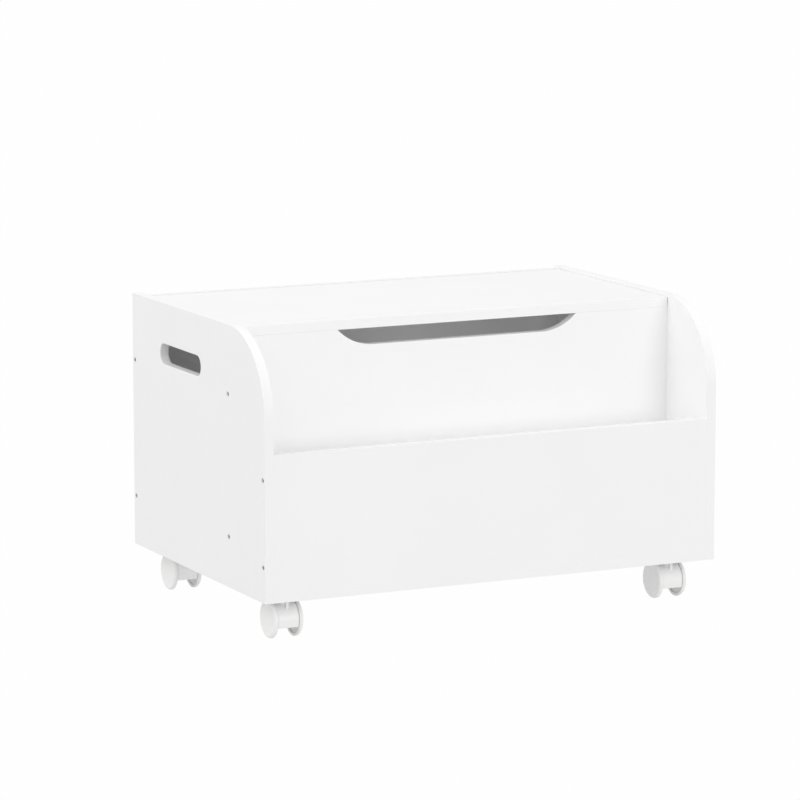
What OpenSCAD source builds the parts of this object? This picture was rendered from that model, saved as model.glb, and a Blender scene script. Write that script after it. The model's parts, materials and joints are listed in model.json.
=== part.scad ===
// Toy box on four twin-wheel castors, with an open book trough along its front
// and a lid that swings up on two steel pins.
// The origin is on the floor under the middle of the box. +X is to the right,
// -Y is the front and +Z is up.

/* [Box] */
// Width over both side panels
box_w = 600; // [520:10:760]
// Depth from the front panel's face to the back panel's face
box_d = 400; // [360:10:460]
// Height of the side panels
side_h = 315; // [300:5:360]
// Thickness of every board
board_t = 12; // [12:1:14]

/* [Book trough] */
// Distance from the front of the box to the divider's face
trough_d = 100; // [90:2:120]
// Top of the front panel, above the underside of the box
front_h = 175; // [120:5:200]
// Radius of the rounded front corner of each side panel
corner_r = 100; // [60:5:110]

/* [Lid] */
// How far the lid lies below the top of the side panels
lid_drop = 3; // [2:0.5:6]
// Gap between each end of the lid and the side panel
lid_end_gap = 0.5; // [0.5:0.1:3]
// Gap between the lid's rear edge and the back panel
lid_rear_gap = 2.5; // [2.4:0.1:3]
// Radius of the lid's rear edges
lid_edge_r = 2; // [2:0.25:4]
// Distance from the back panel's inner face to the pivot axis
pivot_inset = 8; // [8:0.25:9]
// Radius of a pivot pin
pin_r = 3; // [2.5:0.1:3.2]
// Length of a pivot pin
pin_len = 34; // [28:1:50]

/* [Finger notch] */
// Width of the notch along the divider's top edge
notch_w = 320; // [240:10:360]
// Depth of the notch below the divider's top edge
notch_depth = 20; // [16:1:30]
// Radius of the curved ends of the notch
notch_end_r = 65; // [40:5:80]

/* [Hand holes] */
// Length of a hand hole over its round ends
hand_len = 126; // [100:2:140]
// Height of a hand hole
hand_h = 25; // [22:1:32]
// Distance from the front of the box to the middle of a hand hole
hand_y = 250; // [230:5:260]
// Height of the middle of a hand hole above the underside of the box
hand_z = 252.5; // [240:0.5:260]

/* [Panel screws] */
// Radius of a panel screw's thread
screw_r = 2.5; // [2:0.1:2.8]
// Length of a panel screw
screw_len = 38; // [30:1:45]
// Radius of a panel screw's head
screw_head_r = 3.2; // [3:0.1:3.8]
// Depth of a panel screw's head below the board's surface
screw_sink = 1; // [0.5:0.1:2]
// Distance of the front panel's screws from its top and bottom edges
front_screw_inset = 30; // [25:1:35]
// Height of the lower screws of the divider and the back panel
low_screw_z = 61; // [55:1:70]
// Height of the upper screws of the divider and the back panel
high_screw_z = 232; // [200:1:240]

/* [Castors] */
// Height from the floor to the underside of the box
castor_h = 52; // [52:1:60]
// Distance from the end of the box to a castor's swivel axis
castor_x = 42; // [40:1:60]
// Distance from the front or back of the box to a castor's swivel axis
castor_y = 42; // [40:1:60]
// Distance of the axle from the swivel axis, towards the middle of the box
castor_trail = 6; // [5:0.5:8]
// Radius of a castor wheel
wheel_r = 23; // [21:0.5:23]
// Width of one wheel
wheel_w = 5.5; // [5:0.5:8]
// Width of the castor's hood, between the wheels
hood_w = 26.5; // [24:0.5:28]
// Side of the square mounting plate
plate_w = 38; // [36:1:40]

/* [Hidden] */
$fn = 96;
castors = ["front_left", "front_right", "back_left", "back_right"];
castor_pieces = ["plate", "plate_screws", "stem", "hood", "axle", "left_wheel", "right_wheel"];

// Clearances: a tight fit, a running fit, and a cutter's overshoot past a face
tight = 0.02;
running = 0.05;
over = 1;

// Boards
inner_w = box_w - 2 * board_t;
lid_top = side_h - lid_drop;
lid_under = lid_top - board_t;
back_inner_y = box_d - board_t;
front_mid_y = board_t / 2;
divider_mid_y = trough_d + board_t / 2;
back_mid_y = box_d - board_t / 2;

// Lid pivot
pivot_y = back_inner_y - pivot_inset;
pivot_z = lid_under + board_t / 2;
pin_in_side = 8.4;
bush_wall = 1.5;
bush_len = 8.5;
bush_flange_r = 6.5;
bush_flange_t = 1;
pin_chamfer = 0.6;

// Panel screws: [distance from the front, height] on each side panel
side_screw_places = [
    [front_mid_y, board_t + front_screw_inset],
    [front_mid_y, front_h - front_screw_inset],
    [divider_mid_y, low_screw_z],
    [divider_mid_y, high_screw_z],
    [back_mid_y, low_screw_z],
    [back_mid_y, high_screw_z]
];
screw_head_h = 3;
screw_tip_h = 4;
screw_pitch = 2;
screw_root = 0.7;
hex_key_r = 1.75;
hex_key_depth = 2;

// Screws up through the bottom panel, three under each standing panel
bottom_screw_x = [for (share = [1, 3, 5]) box_w * share / 6];
bottom_screw_y = [front_mid_y, divider_mid_y, back_mid_y];

// Dowels that locate the boards' ends in the side panels
dowel_r = 3;
dowel_len = 24;
dowel_in_side = 8;
dowel_chamfer = 0.8;
floor_dowel_y = [box_d * 0.2, box_d * 0.5, box_d * 0.8];
wall_dowel_z = (low_screw_z + high_screw_z) / 2;
wall_dowel_places = [
    [front_mid_y, (board_t + front_h) / 2],
    [divider_mid_y, wall_dowel_z],
    [back_mid_y, wall_dowel_z]
];

// Castor
plate_t = 2;
plate_corner_r = 4;
plate_hole = plate_w / 2 - 6;
plate_hole_r = 2.3;
stem_r = 4;
stem_bottom = 27;
stem_groove_z = 31;
stem_groove = 0.6;
boss_r = 7;
boss_top = castor_h - plate_t - 1;
boss_bottom = wheel_r;
hood_r = wheel_r - 1.5;
hood_wall = 2;
hood_low = wheel_r - 8.5;
web_t = 3.4;
rib_reach = 17;
hub_r = 5;
axle_r = 2.5;
wheel_gap = 0.4;
wheel_outer_edge_r = 3.5;
wheel_inner_edge_r = 1;
wheel_rim = 3.5;
wheel_dish = 2;
wheel_bore_depth = wheel_w - 1.5;
axle_len = hood_w + 2 * (wheel_gap + wheel_bore_depth - 0.2);
plate_screw_r = 2;
plate_screw_len = 11;
plate_screw_head_r = 3.6;
plate_screw_head_h = 2.2;
cross_slot_w = 0.9;
cross_slot_depth = 1.2;

// ---- Places ----------------------------------------------------------------

// From the box's own corner (front, left, underside) to the part's frame
module in_box() {
    translate([-box_w / 2, -box_d / 2, castor_h]) children();
}

// The left end as drawn, or its mirror image for the right end
module at_end(right) {
    if (right) translate([box_w, 0, 0]) mirror([1, 0, 0]) children();
    else children();
}

// Swivel axis of a castor on the floor, 0 to 3 in the order of castors. The back castors are
// mirror images of the front ones, so all four axles lie towards the middle of the box.
module at_castor(corner) {
    across = corner % 2 == 0 ? -1 : 1;
    at_front = corner < 2;
    along = at_front ? -1 : 1;
    translate([across * (box_w / 2 - castor_x), along * (box_d / 2 - castor_y), 0]) {
        if (at_front) children();
        else mirror([0, 1, 0]) children();
    }
}

// ---- Shared shapes -----------------------------------------------------------

// Cylinder along +X from the origin
module rod_x(length, r, r_end = undef) {
    rotate([0, 90, 0]) cylinder(h = length, r1 = r, r2 = is_undef(r_end) ? r : r_end);
}

// Pin or dowel along +X with chamfered ends
module chamfered_rod(length, r, chamfer) {
    rod_x(chamfer, r - chamfer, r);
    translate([chamfer, 0, 0]) rod_x(length - 2 * chamfer, r);
    translate([length - chamfer, 0, 0]) rod_x(chamfer, r, r - chamfer);
}

// Threaded shank along +X, as rings that taper from crest to root
module threaded_shank(length, r) {
    turns = floor((length - screw_tip_h) / screw_pitch);
    plain = length - screw_tip_h - turns * screw_pitch;
    if (plain > 0) rod_x(plain, r);
    for (turn = [0 : turns - 1])
        translate([plain + turn * screw_pitch, 0, 0]) rod_x(screw_pitch, r, r - screw_root);
    translate([length - screw_tip_h, 0, 0]) rod_x(screw_tip_h, r - screw_root, 0.4);
}

// Panel screw along +X, with its countersunk head sunk below the plane x = 0
module panel_screw() {
    translate([screw_sink, 0, 0]) difference() {
        union() {
            rod_x(screw_head_h, screw_head_r, screw_r);
            translate([screw_head_h, 0, 0]) threaded_shank(screw_len - screw_head_h, screw_r);
        }
        translate([-over, 0, 0]) rotate([0, 90, 0])
            cylinder(h = hex_key_depth + over, r = hex_key_r, $fn = 6);
    }
}

// The hole that a panel screw fills
module panel_screw_hole() {
    translate([-over, 0, 0]) rod_x(screw_sink + over, screw_head_r + tight);
    translate([screw_sink, 0, 0])
        rod_x(screw_head_h, screw_head_r + tight, screw_r + tight);
    rod_x(screw_sink + screw_len + tight, screw_r + tight);
}

// Round ends and straight sides, centred, along the first axis
module slot_outline(length, height) {
    reach = (length - height) / 2;
    square([2 * reach, height], center = true);
    for (side = [-1, 1]) translate([side * reach, 0]) circle(height / 2);
}

// Panel lying in the Y-Z plane, from an outline drawn as [distance, height]
module upright_board(thickness) {
    rotate([90, 0, 90]) linear_extrude(thickness) children();
}

// ---- Boards --------------------------------------------------------------------

// Side panel's outline, with its quarter-round front corner
module side_outline() {
    translate([corner_r, 0]) square([box_d - corner_r, side_h]);
    square([box_d, side_h - corner_r]);
    translate([corner_r, side_h - corner_r]) circle(corner_r);
}

module side_panel() {
    difference() {
        upright_board(board_t) difference() {
            side_outline();
            translate([hand_y, hand_z]) slot_outline(hand_len, hand_h);
        }
        for (place = side_screw_places) translate([0, place[0], place[1]]) panel_screw_hole();
        end_dowels() dowel_hole();
        translate([board_t - bush_flange_t - bush_len - tight, pivot_y, pivot_z])
            rod_x(bush_flange_t + bush_len + over, pin_r + bush_wall + tight);
        translate([board_t - bush_flange_t - tight, pivot_y, pivot_z])
            rod_x(bush_flange_t + tight + over, bush_flange_r + tight);
    }
}

module left_side_panel() {
    color("white") in_box() at_end(false) side_panel();
}

module right_side_panel() {
    color("white") in_box() at_end(true) side_panel();
}

// Board that stands on the bottom panel between the side panels, front face at y
module standing_board(y, top) {
    difference() {
        translate([board_t, y, board_t]) cube([inner_w, board_t, top - board_t]);
        board_end_holes();
        bottom_screw_positions() rotate([0, -90, 0]) panel_screw_hole();
    }
}

// Every hole that the side panels' screws and dowels make in the boards' ends
module board_end_holes() {
    for (right = [false, true]) at_end(right) {
        for (place = side_screw_places) translate([0, place[0], place[1]]) panel_screw_hole();
        end_dowels() dowel_hole();
    }
}

module front_panel() {
    color("white") in_box() standing_board(0, front_h);
}

module divider_panel() {
    color("white") in_box() difference() {
        standing_board(trough_d, lid_under);
        finger_notch();
    }
}

// Scoop in the divider's top edge: flat in the middle, with an arc at each end
module finger_notch() {
    arc_run = sqrt(notch_end_r * notch_end_r - pow(notch_end_r - notch_depth, 2));
    flat_half = notch_w / 2 - arc_run;
    floor_z = lid_under - notch_depth;
    translate([box_w / 2, trough_d + board_t + over, 0]) rotate([90, 0, 0])
        linear_extrude(board_t + 2 * over) {
            translate([-flat_half, floor_z]) square([2 * flat_half, notch_depth + over]);
            for (side = [-1, 1]) intersection() {
                translate([side * flat_half, floor_z + notch_end_r]) circle(notch_end_r);
                translate([side > 0 ? flat_half - over : -flat_half - arc_run, floor_z])
                    square([arc_run + over, notch_depth + over]);
            }
        }
}

module back_panel() {
    color("white") in_box() standing_board(back_inner_y, lid_top);
}

module bottom_panel() {
    color("white") difference() {
        in_box() difference() {
            translate([board_t, 0, 0]) cube([inner_w, box_d, board_t]);
            board_end_holes();
            bottom_screw_positions() rotate([0, -90, 0]) panel_screw_hole();
        }
        for (corner = [0 : 3]) at_castor(corner) plate_screw_positions()
            cylinder(h = plate_screw_len - plate_t + tight, r = plate_screw_r + tight);
    }
}

// ---- Lid and its pivots ----------------------------------------------------------

// Lid's cross-section: square at the front edge, rounded at the rear edge
module lid_outline() {
    rear_y = back_inner_y - lid_rear_gap;
    translate([trough_d, lid_under]) square([rear_y - lid_edge_r - trough_d, board_t]);
    translate([rear_y - 2 * lid_edge_r, lid_under + lid_edge_r])
        square([2 * lid_edge_r, board_t - 2 * lid_edge_r]);
    for (z = [lid_under + lid_edge_r, lid_top - lid_edge_r])
        translate([rear_y - lid_edge_r, z]) circle(lid_edge_r);
}

module lid() {
    lid_x = board_t + lid_end_gap;
    color("white") in_box() difference() {
        translate([lid_x, 0, 0]) upright_board(box_w - 2 * lid_x) lid_outline();
        for (right = [false, true]) at_end(right)
            translate([0, pivot_y, pivot_z])
                rod_x(board_t - pin_in_side + pin_len + tight, pin_r + tight);
    }
}

module pivot_pin() {
    translate([board_t - pin_in_side, pivot_y, pivot_z])
        chamfered_rod(pin_len, pin_r, pin_chamfer);
}

module left_lid_pivot_pin() {
    color("silver") in_box() at_end(false) pivot_pin();
}

module right_lid_pivot_pin() {
    color("silver") in_box() at_end(true) pivot_pin();
}

// Flanged bush set flush in the side panel's inner face
module pivot_bush() {
    translate([board_t - bush_flange_t - bush_len, pivot_y, pivot_z]) difference() {
        union() {
            rod_x(bush_len, pin_r + bush_wall);
            translate([bush_len, 0, 0]) rod_x(bush_flange_t, bush_flange_r);
        }
        translate([-over, 0, 0]) rod_x(bush_len + bush_flange_t + 2 * over, pin_r + running);
    }
}

module left_pivot_bush() {
    color("ivory") in_box() at_end(false) pivot_bush();
}

module right_pivot_bush() {
    color("ivory") in_box() at_end(true) pivot_bush();
}

// ---- Panel screws and dowels -------------------------------------------------------

module side_screws() {
    for (place = side_screw_places) translate([0, place[0], place[1]]) panel_screw();
}

module left_side_screws() {
    color("silver") in_box() at_end(false) side_screws();
}

module right_side_screws() {
    color("silver") in_box() at_end(true) side_screws();
}

module bottom_screw_positions() {
    for (x = bottom_screw_x) for (y = bottom_screw_y) translate([x, y, 0]) children();
}

module bottom_screws() {
    color("silver") in_box() bottom_screw_positions() rotate([0, -90, 0]) panel_screw();
}

module dowel() {
    chamfered_rod(dowel_len, dowel_r, dowel_chamfer);
}

module dowel_hole() {
    translate([-tight, 0, 0]) rod_x(dowel_len + 2 * tight, dowel_r + tight);
}

module wall_dowel_positions() {
    for (place = wall_dowel_places)
        translate([board_t - dowel_in_side, place[0], place[1]]) children();
}

module floor_dowel_positions() {
    for (y = floor_dowel_y)
        translate([board_t - dowel_in_side, y, board_t / 2]) children();
}

// Every dowel place at the left end
module end_dowels() {
    wall_dowel_positions() children();
    floor_dowel_positions() children();
}

module wall_dowels() {
    color("burlywood") in_box() for (right = [false, true]) at_end(right)
        wall_dowel_positions() dowel();
}

module floor_dowels() {
    color("burlywood") in_box() for (right = [false, true]) at_end(right)
        floor_dowel_positions() dowel();
}

// ---- Castors, each about its swivel axis with the floor at z = 0 ----------------------

module plate_screw_positions() {
    for (x = [-plate_hole, plate_hole]) for (y = [-plate_hole, plate_hole])
        translate([x, y, castor_h]) children();
}

module castor_plate() {
    flat = plate_w - 2 * plate_corner_r;
    color("silver") translate([0, 0, castor_h - plate_t]) difference() {
        linear_extrude(plate_t) {
            square([plate_w, flat], center = true);
            square([flat, plate_w], center = true);
            for (x = [-1, 1]) for (y = [-1, 1])
                translate([x * flat / 2, y * flat / 2]) circle(plate_corner_r);
        }
        translate([0, 0, -over]) cylinder(h = plate_t + 2 * over, r = stem_r + tight);
        for (x = [-plate_hole, plate_hole]) for (y = [-plate_hole, plate_hole])
            translate([x, y, -over]) cylinder(h = plate_t + 2 * over, r = plate_hole_r);
    }
}

module castor_plate_screws() {
    color("silver") plate_screw_positions() translate([0, 0, -plate_t]) {
        rotate([0, -90, 0]) threaded_shank(plate_screw_len, plate_screw_r);
        difference() {
            translate([0, 0, -plate_screw_head_h])
                cylinder(h = plate_screw_head_h, r1 = plate_screw_head_r - 1, r2 = plate_screw_head_r);
            for (turn = [0, 90]) rotate([0, 0, turn])
                translate([0, 0, -plate_screw_head_h])
                    cube([plate_screw_head_r, cross_slot_w, 2 * cross_slot_depth], center = true);
        }
    }
}

module castor_stem() {
    groove_h = 1.5;
    color("silver") difference() {
        translate([0, 0, stem_bottom]) cylinder(h = castor_h - stem_bottom, r = stem_r);
        translate([0, 0, stem_groove_z]) difference() {
            cylinder(h = groove_h, r = stem_r + over);
            translate([0, 0, -over]) cylinder(h = groove_h + 2 * over, r = stem_r - stem_groove);
        }
    }
}

// Disc across the castor, on the axle's centre line
module on_axle(width, r) {
    translate([-width / 2, castor_trail, wheel_r]) rod_x(width, r);
}

// Hood over the gap between the wheels, with the stem's socket and the axle's hub
module castor_hood() {
    color("white") difference() {
        union() {
            difference() {
                on_axle(hood_w, hood_r);
                on_axle(hood_w + 2 * over, hood_r - hood_wall);
            }
            on_axle(web_t, hood_r);
            on_axle(hood_w, hub_r);
            translate([0, 0, boss_bottom]) cylinder(h = boss_top - boss_bottom, r = boss_r);
            translate([-web_t / 2, castor_trail - rib_reach, wheel_r])
                cube([web_t, rib_reach - castor_trail, boss_top - wheel_r]);
        }
        translate([-hood_w, -2 * wheel_r, 0]) cube([2 * hood_w, 4 * wheel_r, hood_low]);
        translate([0, 0, stem_bottom - tight]) cylinder(h = castor_h, r = stem_r + running);
        on_axle(hood_w + 2 * over, axle_r + tight);
    }
}

module castor_axle() {
    color("silver") translate([-axle_len / 2, castor_trail, wheel_r])
        chamfered_rod(axle_len, axle_r, pin_chamfer);
}

// Wheel as a cap over the axle's end, turned about X, with its open face at x = 0
module wheel() {
    tread_end = wheel_w - wheel_outer_edge_r;
    rotate([0, 90, 0]) rotate_extrude() difference() {
        union() {
            square([wheel_r - wheel_outer_edge_r, wheel_w]);
            square([wheel_r - wheel_inner_edge_r, tread_end]);
            translate([0, wheel_inner_edge_r]) square([wheel_r, tread_end - wheel_inner_edge_r]);
            difference() {
                translate([wheel_r - wheel_outer_edge_r, tread_end])
                    circle(wheel_outer_edge_r, $fn = 48);
                translate([0, -wheel_w]) square([2 * wheel_r, wheel_w + wheel_inner_edge_r]);
            }
            translate([wheel_r - wheel_inner_edge_r, wheel_inner_edge_r])
                circle(wheel_inner_edge_r, $fn = 32);
        }
        translate([0, -over]) square([axle_r + running, wheel_bore_depth + over]);
        translate([hub_r, -over]) square([wheel_r - wheel_rim - hub_r, wheel_dish + over]);
        translate([-wheel_r, -over]) square([wheel_r, wheel_w + 2 * over]);
    }
}

module castor_wheel(right) {
    color("white") mirror([right ? 0 : 1, 0, 0])
        translate([hood_w / 2 + wheel_gap, castor_trail, wheel_r]) wheel();
}

// ---- Nodes ---------------------------------------------------------------------------

left_side_panel();
right_side_panel();
front_panel();
divider_panel();
back_panel();
bottom_panel();
lid();
left_lid_pivot_pin();
right_lid_pivot_pin();
left_pivot_bush();
right_pivot_bush();
left_side_screws();
right_side_screws();
bottom_screws();
wall_dowels();
floor_dowels();
for (corner = [0 : 3]) {
    name = str(castors[corner], "_castor_");
    at_castor(corner) castor_plate();
    at_castor(corner) castor_plate_screws();
    at_castor(corner) castor_stem();
    at_castor(corner) castor_hood();
    at_castor(corner) castor_axle();
    at_castor(corner) castor_wheel(false);
    at_castor(corner) castor_wheel(true);
}
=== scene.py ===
import json
import math

import bmesh
import bpy
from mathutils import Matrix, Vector
from mathutils.geometry import tessellate_polygon


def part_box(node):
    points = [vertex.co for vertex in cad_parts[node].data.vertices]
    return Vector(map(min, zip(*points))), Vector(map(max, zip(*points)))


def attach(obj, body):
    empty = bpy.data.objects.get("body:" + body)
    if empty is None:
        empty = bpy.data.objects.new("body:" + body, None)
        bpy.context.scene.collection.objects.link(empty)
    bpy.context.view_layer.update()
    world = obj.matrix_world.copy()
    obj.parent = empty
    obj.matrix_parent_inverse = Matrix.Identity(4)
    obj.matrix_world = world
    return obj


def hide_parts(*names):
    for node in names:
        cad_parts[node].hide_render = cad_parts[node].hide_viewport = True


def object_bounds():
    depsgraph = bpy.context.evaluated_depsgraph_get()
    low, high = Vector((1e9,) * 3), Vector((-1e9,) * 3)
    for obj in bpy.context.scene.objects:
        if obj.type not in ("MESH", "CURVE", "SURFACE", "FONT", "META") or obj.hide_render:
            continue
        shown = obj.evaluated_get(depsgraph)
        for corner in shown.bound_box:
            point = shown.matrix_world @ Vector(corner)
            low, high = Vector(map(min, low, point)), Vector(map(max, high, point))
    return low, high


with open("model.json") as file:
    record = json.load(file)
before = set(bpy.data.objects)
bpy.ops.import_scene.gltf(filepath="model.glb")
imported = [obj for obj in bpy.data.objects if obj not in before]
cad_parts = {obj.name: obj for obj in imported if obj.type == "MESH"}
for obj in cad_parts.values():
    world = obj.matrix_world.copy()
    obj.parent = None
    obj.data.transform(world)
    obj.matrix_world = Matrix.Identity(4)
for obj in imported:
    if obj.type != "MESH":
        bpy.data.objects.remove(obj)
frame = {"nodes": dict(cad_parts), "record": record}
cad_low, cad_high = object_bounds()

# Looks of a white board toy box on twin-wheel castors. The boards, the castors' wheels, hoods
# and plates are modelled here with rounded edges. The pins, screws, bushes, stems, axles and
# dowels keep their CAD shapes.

MM = 0.001
WELD = 0.001 * MM
CORNERS = ("front_left", "front_right", "back_left", "back_right")
ROUND_STEPS = 4
ARC_STEP = math.radians(3.75)
CUP_SEGMENTS = 32
ALMOST_STRAIGHT = 0.02
SHARP_ANGLE = math.radians(35)

# Rounding of the boards' edges: where they show, and where they butt against another board
SHOWN_EDGE = 0.2 * MM
BUTT_EDGE = 0.04 * MM
HOLE_EDGE = 1.2 * MM


# ---- Outlines --------------------------------------------------------------------------------

def arc(centre, radius, start, end, rounding, steps=None):
    """Outline points (u, v, rounding of the edge after it) along an arc, angles in degrees."""
    start, end = math.radians(start), math.radians(end)
    count = steps or max(2, round(abs(end - start) / ARC_STEP))
    angles = [start + (end - start) * i / count for i in range(count + 1)]
    return [(centre[0] + radius * math.cos(a), centre[1] + radius * math.sin(a), rounding)
            for a in angles]


def rectangle(u0, v0, u1, v1, roundings):
    """Counter-clockwise rectangle with a rounding for its bottom, right, top and left edge."""
    corners = [(u0, v0), (u1, v0), (u1, v1), (u0, v1)]
    return [(*corner, rounding) for corner, rounding in zip(corners, roundings)]


def stadium(centre, length, height, rounding):
    """Counter-clockwise slot with round ends."""
    radius, reach = height / 2, (length - height) / 2
    right = arc((centre[0] + reach, centre[1]), radius, -90, 90, rounding, steps=24)
    left = arc((centre[0] - reach, centre[1]), radius, 90, 270, rounding, steps=24)
    return right + left


def inset(loop, share):
    """The loop moved inwards (to its left) by share of each edge's rounding."""
    moved = []
    for i, (u, v, rounding) in enumerate(loop):
        before, after = loop[i - 1], loop[(i + 1) % len(loop)]
        a = Vector((u - before[0], v - before[1])).normalized()
        b = Vector((after[0] - u, after[1] - v)).normalized()
        na, nb = Vector((-a.y, a.x)), Vector((-b.y, b.x))
        da, db = before[2] * share, rounding * share
        turn = a.cross(b)
        if abs(turn) < ALMOST_STRAIGHT:
            shift = (na + nb).normalized() * ((da + db) / 2)
        else:
            shift = (b * da - a * db) / turn
        moved.append((u + shift.x, v + shift.y))
    return moved


def corner_rounding(loop, i):
    """Rounding at a corner, between those of the two edges that meet there."""
    return (loop[i - 1][2] + loop[i][2]) / 2


# ---- Meshes ----------------------------------------------------------------------------------

def scene_object(name, data):
    """New object in the scene, with a mesh, light or camera as its data."""
    made = bpy.data.objects.new(name, data)
    bpy.context.scene.collection.objects.link(made)
    return made


def mesh_object(name, verts, faces):
    """New mesh object in the scene, with its faces turned outwards."""
    mesh = bpy.data.meshes.new(name)
    mesh.from_pydata([tuple(v) for v in verts], [], faces)
    bm = bmesh.new()
    bm.from_mesh(mesh)
    bmesh.ops.recalc_face_normals(bm, faces=bm.faces)
    bm.to_mesh(mesh)
    bm.free()
    return scene_object(name, mesh)


def new_piece(name, solid, body, slot, node):
    """Piece that stands for a CAD node, from its vertices and faces, with smooth rounded edges
    and flat faces."""
    piece = mesh_object(name, *solid)
    piece.data.shade_smooth()
    piece.data.set_sharp_from_angle(angle=SHARP_ANGLE)
    shading = piece.modifiers.new("even_shading", "WEIGHTED_NORMAL")
    shading.keep_sharp = True
    piece.data.materials.append(MATERIALS[slot])
    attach(piece, body)
    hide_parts(node)


def board_mesh(loops, low, high, place, low_cups=(), high_cups=(), between=()):
    """Solid between low and high along its thickness. The first loop is its outline and the
    others are through holes. Cups are blind holes in one face, each with its centre and the
    depths and radii of its rings. A bent solid also needs the levels between its ends where
    its surface has points."""
    verts, flats, faces = [], [], []
    caps = {low: [], high: []}

    def add_ring(points, heights):
        first = len(verts)
        verts.extend(place(u, v, w) for (u, v), w in zip(points, heights))
        flats.extend(points)
        return list(range(first, first + len(points)))

    def join(ring_a, ring_b):
        count = len(ring_a)
        for i in range(count):
            j = (i + 1) % count
            faces.append((ring_a[i], ring_a[j], ring_b[j], ring_b[i]))

    for number, loop in enumerate(loops):
        inwards = 1 if number == 0 else -1
        roundings = [corner_rounding(loop, i) for i in range(len(loop))]
        rings = []
        for level, side in ((low, 1), (high, -1)):
            stack = []
            for step in range(ROUND_STEPS + 1):
                angle = math.pi / 2 * step / ROUND_STEPS
                points = inset(loop, inwards * (1 - math.sin(angle)))
                drop = 1 - math.cos(angle)
                heights = [level + side * drop * rounding for rounding in roundings]
                stack.append(add_ring(points, heights))
            caps[level].append(stack[0])
            rings.append(stack)
        middle = [add_ring([p[:2] for p in loop], [level] * len(loop)) for level in between]
        chain = rings[0] + middle + rings[1][::-1]
        for ring_a, ring_b in zip(chain, chain[1:]):
            join(ring_a, ring_b)
    for level, cups in ((low, low_cups), (high, high_cups)):
        side = 1 if level == low else -1
        for centre, profile in cups:
            rings = []
            for depth, radius in profile:
                loop = arc(centre, radius, 0, 360, 0, steps=CUP_SEGMENTS)[:-1]
                rings.append(add_ring([p[:2] for p in loop], [level + side * depth] * len(loop)))
            caps[level].append(rings[0])
            for ring_a, ring_b in zip(rings, rings[1:]):
                join(ring_a, ring_b)
            faces.append(tuple(rings[-1]))
    for level, rings in caps.items():
        outlines = [[Vector((*flats[i], 0)) for i in ring] for ring in rings]
        flat = [i for ring in rings for i in ring]
        faces.extend(tuple(flat[i] for i in triangle) for triangle in tessellate_polygon(outlines))
    return verts, faces


def fused(solids, bores):
    """One closed mesh: the solids fused together, with the bores cut out of them."""
    base, *others = [mesh_object("solid", *solid) for solid in solids]
    tools = [(other, "UNION") for other in others]
    tools += [(mesh_object("bore", *bore), "DIFFERENCE") for bore in bores]
    for tool, operation in tools:
        step = base.modifiers.new("step", "BOOLEAN")
        step.object = tool
        step.operation = operation
        step.solver = "EXACT"
    bm = bmesh.new()
    bm.from_object(base, bpy.context.evaluated_depsgraph_get())
    bmesh.ops.remove_doubles(bm, verts=bm.verts, dist=WELD)
    bm.verts.index_update()
    verts = [vert.co.copy() for vert in bm.verts]
    faces = [tuple(vert.index for vert in face.verts) for face in bm.faces]
    bm.free()
    for used in (base, *(tool for tool, _ in tools)):
        bpy.data.objects.remove(used)
    return verts, faces


class Plane:
    """Maps outline coordinates and thickness to the frame, for one orientation of a board."""

    def __init__(self, u_axis, v_axis, w_axis):
        self.axes = (u_axis, v_axis, w_axis)

    def __call__(self, u, v, w):
        point = [0.0, 0.0, 0.0]
        for axis, value in zip(self.axes, (u, v, w)):
            point[axis] = value
        return Vector(point)


SIDEWAYS = Plane(1, 2, 0)
FRONTAL = Plane(0, 2, 1)
LEVEL = Plane(0, 1, 2)


# ---- Materials -------------------------------------------------------------------------------

# Noise mostly lies between these two values
NOISE_LOW, NOISE_HIGH = 0.3, 0.7


def shader(name, roughness, **inputs):
    """New material, with what it takes to add nodes to it, and its Principled shader."""
    material = bpy.data.materials.new(name)
    material.use_nodes = True
    nodes, links = material.node_tree.nodes, material.node_tree.links
    principled = nodes["Principled BSDF"]
    principled.inputs["Roughness"].default_value = roughness
    for key, value in inputs.items():
        principled.inputs[key.replace("_", " ")].default_value = value
    return material, nodes, links, principled


def noise(nodes, links, scale, detail, stretch=(1, 1, 1)):
    """Noise in the object's own coordinates, in metres."""
    place = nodes.new("ShaderNodeTexCoord")
    mapping = nodes.new("ShaderNodeMapping")
    mapping.inputs["Scale"].default_value = stretch
    texture = nodes.new("ShaderNodeTexNoise")
    texture.inputs["Scale"].default_value = scale
    texture.inputs["Detail"].default_value = detail
    links.new(place.outputs["Object"], mapping.inputs["Vector"])
    links.new(mapping.outputs["Vector"], texture.inputs["Vector"])
    return texture.outputs["Fac"]


def vary(nodes, links, factor, low, high, socket):
    """Drives a value socket between low and high."""
    spread = nodes.new("ShaderNodeMapRange")
    spread.inputs["From Min"].default_value = NOISE_LOW
    spread.inputs["From Max"].default_value = NOISE_HIGH
    spread.inputs["To Min"].default_value = low
    spread.inputs["To Max"].default_value = high
    links.new(factor, spread.inputs["Value"])
    links.new(spread.outputs["Result"], socket)


def tint(nodes, links, factor, colour_a, colour_b, socket):
    """Drives a colour socket between two colours."""
    ramp = nodes.new("ShaderNodeValToRGB")
    ramp.color_ramp.elements[0].position = NOISE_LOW
    ramp.color_ramp.elements[0].color = (*colour_a, 1)
    ramp.color_ramp.elements[1].position = NOISE_HIGH
    ramp.color_ramp.elements[1].color = (*colour_b, 1)
    links.new(factor, ramp.inputs["Fac"])
    links.new(ramp.outputs["Color"], socket)


def bump(nodes, links, height, distance, strength, principled, below=None):
    """Adds a bump of a real height in metres to the shader."""
    node = nodes.new("ShaderNodeBump")
    node.inputs["Distance"].default_value = distance
    node.inputs["Strength"].default_value = strength
    links.new(height, node.inputs["Height"])
    if below:
        links.new(below.outputs["Normal"], node.inputs["Normal"])
    links.new(node.outputs["Normal"], principled.inputs["Normal"])
    return node


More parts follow.
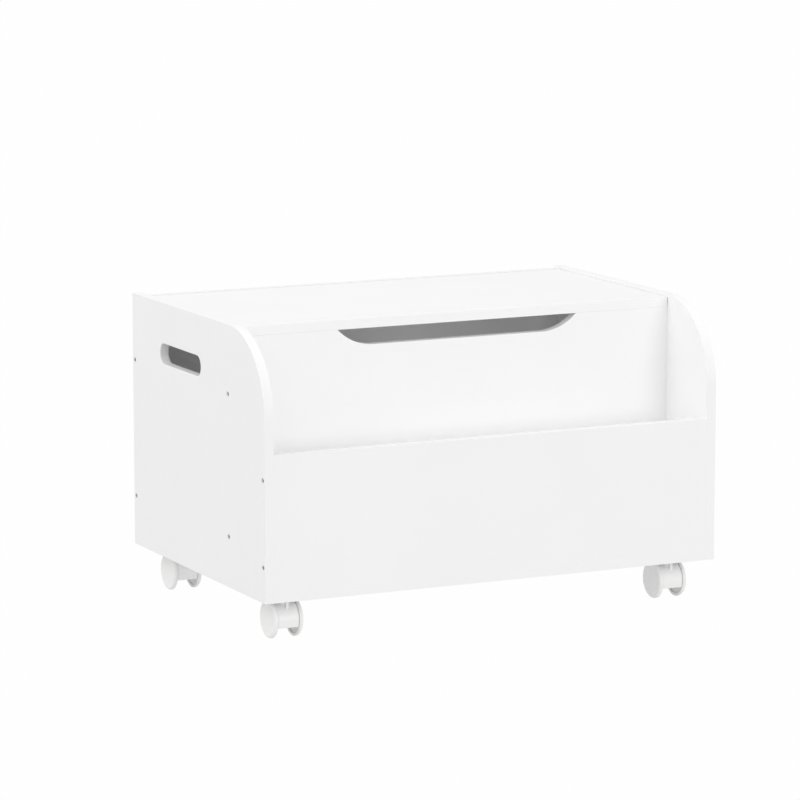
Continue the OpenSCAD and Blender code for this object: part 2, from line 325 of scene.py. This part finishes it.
def white_board():
    """Satin white lacquer rolled on fibreboard: faint mottling and a fine orange peel."""
    material, nodes, links, principled = shader("white_board", 0.5, Specular_IOR_Level=0.25)
    tint(nodes, links, noise(nodes, links, 9, 3), (0.923, 0.923, 0.923), (0.937, 0.937, 0.937),
         principled.inputs["Base Color"])
    vary(nodes, links, noise(nodes, links, 45, 4), 0.45, 0.56, principled.inputs["Roughness"])
    peel = bump(nodes, links, noise(nodes, links, 520, 2), 0.00003, 0.5, principled)
    bump(nodes, links, noise(nodes, links, 60, 2), 0.00008, 0.35, principled, peel)
    return material


def moulded(name, colour_a, colour_b, roughness):
    """Moulded plastic: even colour, fine spark-eroded texture."""
    material, nodes, links, principled = shader(name, roughness)
    tint(nodes, links, noise(nodes, links, 160, 3), colour_a, colour_b,
         principled.inputs["Base Color"])
    vary(nodes, links, noise(nodes, links, 400, 3), roughness - 0.05, roughness + 0.07,
         principled.inputs["Roughness"])
    bump(nodes, links, noise(nodes, links, 2600, 2), 0.00002, 0.5, principled)
    return material


def zinc_steel():
    """Bright zinc-plated steel, with the fine cloudiness of the plating."""
    material, nodes, links, principled = shader("zinc_steel", 0.3, Metallic=1.0)
    tint(nodes, links, noise(nodes, links, 350, 4), (0.55, 0.56, 0.58), (0.72, 0.73, 0.75),
         principled.inputs["Base Color"])
    vary(nodes, links, noise(nodes, links, 900, 4), 0.22, 0.42, principled.inputs["Roughness"])
    bump(nodes, links, noise(nodes, links, 3000, 2, (1, 1, 0.1)), 0.00001, 0.4, principled)
    return material


def beech_dowel():
    """Bare beech with its grain along the dowel's length."""
    material, nodes, links, principled = shader("beech_dowel", 0.6)
    grain = noise(nodes, links, 900, 5, (0.08, 1, 1))
    tint(nodes, links, grain, (0.45, 0.29, 0.16), (0.62, 0.44, 0.27),
         principled.inputs["Base Color"])
    bump(nodes, links, grain, 0.00005, 0.6, principled)
    return material


MATERIALS = {
    "white_board": white_board(),
    "hood_plastic": moulded("hood_plastic", (0.915, 0.915, 0.91), (0.93, 0.93, 0.925), 0.34),
    "wheel_plastic": moulded("wheel_plastic", (0.9, 0.9, 0.895), (0.915, 0.915, 0.91), 0.38),
    "bush_nylon": moulded("bush_nylon", (0.74, 0.72, 0.65), (0.78, 0.76, 0.69), 0.45),
    "zinc_steel": zinc_steel(),
    "beech_dowel": beech_dowel(),
}
SLOTS = {entry["node"]: entry["material_slot"] for entry in frame["record"]["subparts"]}
for node_name, node_object in frame["nodes"].items():
    node_object.data.materials.clear()
    node_object.data.materials.append(MATERIALS[SLOTS[node_name]])


# ---- What the frame says ---------------------------------------------------------------------

SAME_LEVEL = 0.01 * MM
OPENINGS = {opening["name"]: tuple(Vector(corner) for corner in opening["box_m"])
            for opening in frame["record"]["physics"]["openings"]}


def node_points(node):
    """Where a CAD node's vertices are."""
    return [v.co for v in frame["nodes"][node].data.vertices]


def corner_radius(name):
    """Radius of a side panel's rounded front corner: how far back its top edge starts."""
    low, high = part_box(name)
    return min(p.y for p in node_points(name) if p.z > high.z - SAME_LEVEL) - low.y


def islands(node):
    """Box of each separate solid of a CAD node."""
    bm = bmesh.new()
    bm.from_mesh(frame["nodes"][node].data)
    bmesh.ops.remove_doubles(bm, verts=bm.verts, dist=WELD)
    left, found = set(bm.verts), []
    while left:
        stack, group = [left.pop()], []
        while stack:
            vert = stack.pop()
            group.append(vert.co.copy())
            for edge in vert.link_edges:
                other = edge.other_vert(vert)
                if other in left:
                    left.remove(other)
                    stack.append(other)
        low = Vector([min(p[i] for p in group) for i in range(3)])
        high = Vector([max(p[i] for p in group) for i in range(3)])
        found.append((low, high))
    bm.free()
    return sorted(found, key=lambda pair: tuple(round(x, 5) for x in pair[0]))


def screw_centres(node):
    """Where each side screw comes through its panel, as (y, z)."""
    return [((low.y + high.y) / 2, (low.z + high.z) / 2) for low, high in islands(node)]


def screw_head_radius():
    """Radius of a panel screw's head, half of its box's height."""
    low, high = islands("left_side_screws")[0]
    return (high.z - low.z) / 2


def hand_hole_size():
    """Length and height of the hand hole, from the side panel's own vertices around it."""
    hole_low, hole_high = OPENINGS["left_hand_hole"]
    above, beside = 2 * MM, 20 * MM
    near = [p for p in node_points("left_side_panel")
            if hole_low.z - above < p.z < hole_high.z + above
            and hole_low.y - beside < p.y < hole_high.y + beside]
    return (max(p.y for p in near) - min(p.y for p in near),
            max(p.z for p in near) - min(p.z for p in near))


# ---- Boards ----------------------------------------------------------------------------------

TIGHT = 0.02 * MM
SCREW_HEAD, SCREW_HEAD_DEPTH, SCREW_HEAD_TAPER = screw_head_radius(), 2.9 * MM, 0.8
HAND_LENGTH, HAND_HEIGHT = hand_hole_size()


def screw_cup(sunk):
    """Blind hole round the head of a panel screw, as depths down from the face and radii."""
    head, edge = SCREW_HEAD, 0.2 * MM
    return [(0, head + edge), (0.3 * edge, head + 0.3 * edge), (edge, head), (sunk, head),
            (sunk + SCREW_HEAD_DEPTH, head * SCREW_HEAD_TAPER)]


def side_panel(name, screws_node):
    """Side with its rounded corner, hand hole, sunk screws and the seat of the lid's bush."""
    low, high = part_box(name)
    outer_is_low = low.x < 0
    hand_low, hand_high = OPENINGS[name.replace("side_panel", "hand_hole")]
    radius = corner_radius(name)
    corner = low.y + radius
    outline = [(low.y, low.z, SHOWN_EDGE), (high.y, low.z, SHOWN_EDGE),
               (high.y, high.z, SHOWN_EDGE)]
    outline += arc((corner, high.z - radius), radius, 90, 180, SHOWN_EDGE)
    hand_centre = ((hand_low.y + hand_high.y) / 2, (hand_low.z + hand_high.z) / 2)
    hand_hole = stadium(hand_centre, HAND_LENGTH, HAND_HEIGHT, HOLE_EDGE)
    screw_low, screw_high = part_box(screws_node)
    sunk = screw_low.x - low.x if outer_is_low else high.x - screw_high.x
    screw_cups = [(centre, screw_cup(sunk)) for centre in screw_centres(screws_node)]
    bush_low, bush_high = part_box(name.replace("side_panel", "pivot_bush"))
    seat_r = (bush_high.z - bush_low.z) / 2 + TIGHT
    seat = [(0, seat_r), (bush_high.x - bush_low.x, seat_r)]
    bush_cups = [(((bush_low.y + bush_high.y) / 2, (bush_low.z + bush_high.z) / 2), seat)]
    low_cups, high_cups = (screw_cups, bush_cups) if outer_is_low else (bush_cups, screw_cups)
    solid = board_mesh([outline, hand_hole], low.x, high.x, SIDEWAYS, low_cups, high_cups)
    new_piece(name + "_board", solid, "box", "white_board", name)


side_panel("left_side_panel", "left_side_screws")
side_panel("right_side_panel", "right_side_screws")


def standing_board(name):
    """Plain board across the width of the box, butted between the sides."""
    low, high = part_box(name)
    roundings = (BUTT_EDGE, BUTT_EDGE, SHOWN_EDGE, BUTT_EDGE)
    outline = rectangle(low.x, low.z, high.x, high.z, roundings)
    return board_mesh([outline], low.y, high.y, FRONTAL)


for board in ("front_panel", "back_panel"):
    new_piece(board + "_board", standing_board(board), "box", "white_board", board)


# The notch ends, and the holes in the divider's ends begin, on either side of this
NOTCH_REACH = 200 * MM


def divider():
    """The divider, with the finger notch in its top edge."""
    name = "divider_panel"
    low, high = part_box(name)
    middle_z = (low.z + high.z) / 2
    points = [p for p in node_points(name) if abs(p.x) < NOTCH_REACH]
    floor = min(p.z for p in points if p.z > middle_z)
    half = max(p.x for p in points if p.z > high.z - SAME_LEVEL)
    flat = max(p.x for p in points if abs(p.z - floor) < SAME_LEVEL)
    depth, run = high.z - floor, half - flat
    radius = (run * run + depth * depth) / (2 * depth)
    sweep = math.degrees(math.asin(run / radius))
    outline = [(low.x, low.z, BUTT_EDGE), (high.x, low.z, BUTT_EDGE), (high.x, high.z, SHOWN_EDGE)]
    outline += arc((flat, floor + radius), radius, sweep - 90, -90, SHOWN_EDGE, steps=16)
    outline += arc((-flat, floor + radius), radius, -90, -90 - sweep, SHOWN_EDGE, steps=16)
    outline += [(low.x, high.z, BUTT_EDGE)]
    solid = board_mesh([outline], low.y, high.y, FRONTAL)
    new_piece(name + "_board", solid, "box", "white_board", name)


divider()


def bottom():
    """Bottom board, with the seats of the screws that come up through it."""
    name = "bottom_panel"
    low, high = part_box(name)
    outline = rectangle(low.x, low.y, high.x, high.y, (BUTT_EDGE,) * 4)
    screws = islands("bottom_screws")
    sunk = screws[0][0].z - low.z
    cups = [(((a.x + b.x) / 2, (a.y + b.y) / 2), screw_cup(sunk)) for a, b in screws]
    solid = board_mesh([outline], low.z, high.z, LEVEL, cups)
    new_piece(name + "_board", solid, "box", "white_board", name)


bottom()


def lid():
    """Lid, as its cross-section run along X: nearly square in front, rounder at the back."""
    low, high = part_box("lid")
    front, rear, end = 0.5 * MM, 2 * MM, 0.4 * MM
    outline = (arc((low.y + front, low.z + front), front, 180, 270, end, steps=6)
               + arc((high.y - rear, low.z + rear), rear, 270, 360, end, steps=8)
               + arc((high.y - rear, high.z - rear), rear, 0, 90, end, steps=8)
               + arc((low.y + front, high.z - front), front, 90, 180, end, steps=6))
    solid = board_mesh([outline], low.x, high.x, SIDEWAYS)
    new_piece("lid_board", solid, "lid", "white_board", "lid")


lid()


# ---- Castors ---------------------------------------------------------------------------------

# Sizes inside a castor that its bounding boxes don't give
WHEEL_HUB = 5 * MM
WHEEL_RIM = 3.5 * MM
WHEEL_DISH = 2 * MM
WHEEL_BORE = 4 * MM
AXLE_R = (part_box("front_left_castor_axle")[1].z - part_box("front_left_castor_axle")[0].z) / 2
HOOD_WALL = 2 * MM
HOOD_WEB = 3.4 * MM
BOSS_R = 7 * MM
RIB_REACH = 17 * MM
PLATE_HOLE_R = 2.3 * MM
DRUM_STEPS = 48
DOME_SHARES = (0.97, 0.9, 0.8, 0.65, 0.5, 0.35, 0.2, 0.1, 0)

# Clearances round an axle in a wheel, and round a stem in a plate and in a hood
WHEEL_ON_AXLE = 0.1 * MM
PLATE_ON_STEM = 0.05 * MM
HOOD_ON_STEM = 0.2 * MM


def lathe(profile, place, segments=96):
    """Solid turned about an axis, from a profile of (radius, height) whose ends are closed off
    where they meet the axis."""
    verts, faces, rows = [], [], []
    for radius, height in profile:
        turned = radius > 0
        rows.append([len(verts) + (i if turned else 0) for i in range(segments)])
        for i in range(segments if turned else 1):
            angle = 2 * math.pi * i / segments
            verts.append(place(radius * math.cos(angle), radius * math.sin(angle), height))
    for row_a, row_b in zip(rows, rows[1:]):
        for i in range(segments):
            j = (i + 1) % segments
            corners = dict.fromkeys((row_a[i], row_a[j], row_b[j], row_b[i]))
            if len(corners) > 2:
                faces.append(tuple(corners))
    return verts, faces


def rounded(centre, radius, start, end, steps):
    """Profile points round an edge, angles in degrees."""
    return [point[:2] for point in arc(centre, radius, start, end, 0, steps)]


def wheel(name, body):
    """Solid outer face a little domed, rounded tread, and a dished inner face round the hub."""
    low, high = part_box(name)
    centre = (low + high) / 2
    outwards = 1 if "right_wheel" in name else -1
    inner = low.x if outwards > 0 else high.x
    radius, width = (high.z - low.z) / 2, high.x - low.x

    def place(a, b, h):
        return Vector((inner + outwards * h, centre.y + a, centre.z + b))

    soft, dome = 3.4 * MM, 0.3 * MM
    shoulder = radius - soft
    hub, rim, dish = WHEEL_HUB, radius - WHEEL_RIM, WHEEL_DISH
    bore_r, fine, tread = AXLE_R + WHEEL_ON_AXLE, 0.4 * MM, 1 * MM
    profile = [(0, WHEEL_BORE), (bore_r, WHEEL_BORE), (bore_r, fine), (bore_r + fine, 0)]
    profile += rounded((hub - fine, fine), fine, -90, 0, 4)
    profile += rounded((hub + fine, dish - fine), fine, 180, 90, 4)
    profile += rounded((rim - fine, dish - fine), fine, 90, 0, 4)
    profile += rounded((rim + fine, fine), fine, 180, 270, 4)
    profile += rounded((radius - tread, tread), tread, -90, 0, 8)
    profile += rounded((shoulder, width - dome - soft), soft, 0, 86, 12)
    profile += [(shoulder * share, width - dome * share * share) for share in DOME_SHARES]
    new_piece(name + "_moulding", lathe(profile, place), body, "wheel_plastic", name)


def hood(corner):
    """Drum over the gap between the wheels, cut off level below the axle, on its web, with the
    stem's boss and a rib on the boss's outer side."""
    name = corner + "_castor_hood"
    low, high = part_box(name)
    axle_low, axle_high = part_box(corner + "_castor_axle")
    stem_low, stem_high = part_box(corner + "_castor_stem")
    axle, swivel = (axle_low + axle_high) / 2, (stem_low + stem_high) / 2
    radius, cut = (high.y - low.y) / 2, axle.z - low.z
    wall, soft, web = HOOD_WALL, 0.7 * MM, HOOD_WEB

    def around(u, v, w):
        """u across the hood, v out from the axle, w along the drum from its front end, 0 to 1."""
        dip = math.asin(cut / v)
        angle = math.pi + dip - w * (math.pi + 2 * dip)
        return Vector((axle.x + u, axle.y + v * math.cos(angle), axle.z + v * math.sin(angle)))

    half = (high.x - low.x) / 2
    section = [(-half, radius - wall, 0), (half, radius - wall, 0)]
    section += arc((half - soft, radius - soft), soft, 0, 90, 0, steps=5)
    section += arc((-half + soft, radius - soft), soft, 90, 180, 0, steps=5)
    drum = board_mesh([section], 0, 1, around,
                      between=[i / DRUM_STEPS for i in range(1, DRUM_STEPS)])

    inwards = 1 if axle.y > swivel.y else -1

    def upright(u, v, w):
        """u from the axle towards the middle of the box, v up, w across the castor."""
        return Vector((axle.x + w, axle.y + inwards * u, v))

    dip = math.degrees(math.asin(cut / (radius - wall / 2)))
    disc = arc((0, axle.z), radius - wall / 2, -dip, 180 + dip, 0)
    web_board = board_mesh([disc], -web / 2, web / 2, upright)
    rib_end, soft_end, fine = (swivel.y - axle.y) * inwards, 0.6 * MM, 0.3 * MM
    rib_outline = [(-RIB_REACH, axle.z, 0), (rib_end, axle.z, 0), (rib_end, high.z, fine)]
    rib_outline += arc((soft_end - RIB_REACH, high.z - soft_end), soft_end, 90, 180, fine, steps=4)
    rib = board_mesh([rib_outline], -web / 2, web / 2, upright)

    def across(a, b, h):
        return Vector((low.x + h, axle.y + a, axle.z + b))

    def upwards(a, b, h):
        return Vector((swivel.x + a, swivel.y + b, h))

    def rod(radius, start, end, direction, segments):
        return lathe([(0, start), (radius, start), (radius, end), (0, end)], direction, segments)

    hub_end = 2 * half
    hub = lathe([(0, 0), (WHEEL_HUB - fine, 0), (WHEEL_HUB, fine), (WHEEL_HUB, hub_end - fine),
                 (WHEEL_HUB - fine, hub_end), (0, hub_end)], across, 48)
    boss = lathe([(0, axle.z), (BOSS_R, axle.z)]
                 + rounded((BOSS_R - soft, high.z - soft), soft, 0, 90, 5)
                 + [(0, high.z)], upwards, 64)
    stem_r, under, past = (stem_high.x - stem_low.x) / 2, 0.5 * MM, 1 * MM
    stem_bore = rod(stem_r + HOOD_ON_STEM, stem_low.z - under, high.z + past, upwards, 64)
    axle_bore = rod(AXLE_R + TIGHT, -past, hub_end + past, across, 48)
    moulding = fused((drum, web_board, rib, hub, boss), (stem_bore, axle_bore))
    new_piece(name + "_moulding", moulding, corner + "_castor", "hood_plastic", name)


def plate(corner):
    """Square mounting plate with its stem hole and four screw holes."""
    name = corner + "_castor_plate"
    low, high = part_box(name)
    middle, round_r, edge = (low + high) / 2, 4 * MM, 0.3 * MM
    reach = (high.x - low.x) / 2 - round_r
    outline = []
    for side_x, side_y, start in ((-1, -1, 180), (1, -1, 270), (1, 1, 0), (-1, 1, 90)):
        centre = (middle.x + side_x * reach, middle.y + side_y * reach)
        outline += arc(centre, round_r, start, start + 90, edge, steps=8)
    stem_low, stem_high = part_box(corner + "_castor_stem")
    stem_hole_r = (stem_high.x - stem_low.x) / 2 + PLATE_ON_STEM
    holes = [arc(middle, stem_hole_r, 0, 360, edge, steps=48)[:-1]]
    for screw_low, screw_high in islands(corner + "_castor_plate_screws"):
        screw_middle = (screw_low + screw_high) / 2
        holes.append(arc(screw_middle, PLATE_HOLE_R, 0, 360, edge, steps=32)[:-1])
    solid = board_mesh([outline, *holes], low.z, high.z, LEVEL)
    new_piece(name + "_pressing", solid, "box", "zinc_steel", name)


for castor_corner in CORNERS:
    plate(castor_corner)
    hood(castor_corner)
    for side in ("left", "right"):
        wheel(f"{castor_corner}_castor_{side}_wheel", f"{castor_corner}_castor_{side}")


# ---- Stage, lights and camera ----------------------------------------------------------------

FLOOR_REACH = 30
FLOOR_WHITE = 0.98
FLOOR_GLOW = 0.455
AMBIENT = 0.89
FRONT_POWER, FRONT_SIZE = 200, 4.0
LEFT_POWER, LEFT_SIZE = 198, 5.0
SOFTBOX_DISTANCE = 10.0
FLOOR_BOUNCE, TROUGH_BOUNCE = 0.08, 0.12
INSIDE_POWER, INSIDE_RADIUS = 0.105, 0.08
INSIDE_ASIDE = Vector((100 * MM, 0, 0))


def seen_white(nodes, links, shaded, level):
    """Mixes a shader with plain white for the camera's own rays only, as a lit studio sweep."""
    glow = nodes.new("ShaderNodeEmission")
    glow.inputs["Color"].default_value = (1, 1, 1, 1)
    rays = nodes.new("ShaderNodeLightPath")
    share = nodes.new("ShaderNodeMath")
    share.operation = "MULTIPLY"
    share.inputs[1].default_value = level
    links.new(rays.outputs["Is Camera Ray"], share.inputs[0])
    mix = nodes.new("ShaderNodeMixShader")
    links.new(share.outputs["Value"], mix.inputs["Fac"])
    links.new(shaded, mix.inputs[1])
    links.new(glow.outputs["Emission"], mix.inputs[2])
    return mix.outputs["Shader"]


def floor_material():
    """Pale matt floor that glows like a sweep table, so that it reads as white. Its lower face
    is clear, so that the underside of the box can be looked at."""
    material, nodes, links, principled = shader(
        "studio_floor", 0.9, Base_Color=(0.2, 0.2, 0.2, 1), Specular_IOR_Level=0,
        Emission_Color=(1, 1, 1, 1), Emission_Strength=FLOOR_GLOW)
    surface = seen_white(nodes, links, principled.outputs["BSDF"], FLOOR_WHITE)
    faces = nodes.new("ShaderNodeNewGeometry")
    clear = nodes.new("ShaderNodeBsdfTransparent")
    sided = nodes.new("ShaderNodeMixShader")
    links.new(faces.outputs["Backfacing"], sided.inputs["Fac"])
    links.new(surface, sided.inputs[1])
    links.new(clear.outputs["BSDF"], sided.inputs[2])
    links.new(sided.outputs["Shader"], nodes["Material Output"].inputs["Surface"])
    return material


def stage():
    """Floor and surroundings."""
    reach = FLOOR_REACH
    mesh = bpy.data.meshes.new("floor")
    mesh.from_pydata([(-reach, -reach, 0), (reach, -reach, 0), (reach, reach, 0),
                      (-reach, reach, 0)], [], [(0, 1, 2, 3)])
    mesh.materials.append(floor_material())
    scene_object("floor", mesh)
    world = bpy.data.worlds.new("studio")
    world.use_nodes = True
    nodes, links = world.node_tree.nodes, world.node_tree.links
    background = nodes["Background"]
    background.inputs["Color"].default_value = (1, 1, 1, 1)
    background.inputs["Strength"].default_value = AMBIENT
    surface = seen_white(nodes, links, background.outputs["Background"], 1.0)
    links.new(surface, nodes["World Output"].inputs["Surface"])
    bpy.context.scene.world = world


def softbox(name, direction, size, power):
    """Square area light that faces the middle of the box."""
    data = bpy.data.lights.new(name, "AREA")
    data.shape = "SQUARE"
    data.size = size
    data.energy = power
    light = scene_object(name, data)
    middle = (cad_low + cad_high) / 2
    light.location = middle + Vector(direction).normalized() * SOFTBOX_DISTANCE
    light.rotation_mode = "QUATERNION"
    light.rotation_quaternion = (middle - light.location).to_track_quat("-Z", "Y")


def bounce_card(name, low, high, power):
    """Light that a white surface throws back up, from the rectangle low to high at low's level."""
    data = bpy.data.lights.new(name, "AREA")
    data.shape = "RECTANGLE"
    data.size, data.size_y = high.x - low.x, high.y - low.y
    data.energy = power
    card = scene_object(name, data)
    card.visible_camera = False
    card.location = ((low.x + high.x) / 2, (low.y + high.y) / 2, low.z + 1 * MM)
    card.rotation_euler = (math.pi, 0, 0)


def inside_light():
    """Dim lamp in the toy compartment, so that the notch and hand holes don't read as black."""
    low, high = OPENINGS["toy_compartment"]
    data = bpy.data.lights.new("inside_light", "POINT")
    data.energy = INSIDE_POWER
    data.shadow_soft_size = INSIDE_RADIUS
    lamp = scene_object("inside_light", data)
    lamp.location = (low + high) / 2 + INSIDE_ASIDE


# The camera's place: angles round the box, lens, distance, and where it aims from the middle
AZIMUTH, ELEVATION = math.radians(-25.761), math.radians(9.495)
LENS, DISTANCE = 189.79, 5.1863
AIM_RIGHT, AIM_UP = -0.0268, 0.0568


def camera():
    """Long lens at the photographed viewing angle, aimed a little off the box's middle."""
    data = bpy.data.cameras.new("camera")
    data.lens = LENS
    data.clip_end = 100
    eye = scene_object("camera", data)
    back = Vector((math.sin(AZIMUTH) * math.cos(ELEVATION),
                   -math.cos(AZIMUTH) * math.cos(ELEVATION),
                   math.sin(ELEVATION)))
    right = Vector((math.cos(AZIMUTH), math.sin(AZIMUTH), 0))
    aim = (cad_low + cad_high) / 2 + right * AIM_RIGHT + back.cross(right) * AIM_UP
    eye.location = aim + back * DISTANCE
    eye.rotation_mode = "QUATERNION"
    eye.rotation_quaternion = (-back).to_track_quat("-Z", "Y")
    bpy.context.scene.camera = eye


stage()
softbox("front_softbox", (0.2, -1, 0.12), FRONT_SIZE, FRONT_POWER)
softbox("left_softbox", (-1, 0, 0.8), LEFT_SIZE, LEFT_POWER)
bounce_card("floor_bounce", cad_low, cad_high, FLOOR_BOUNCE)
bounce_card("trough_bounce", *OPENINGS["book_trough"], TROUGH_BOUNCE)
inside_light()
camera()
bpy.context.scene.view_settings.view_transform = "Standard"
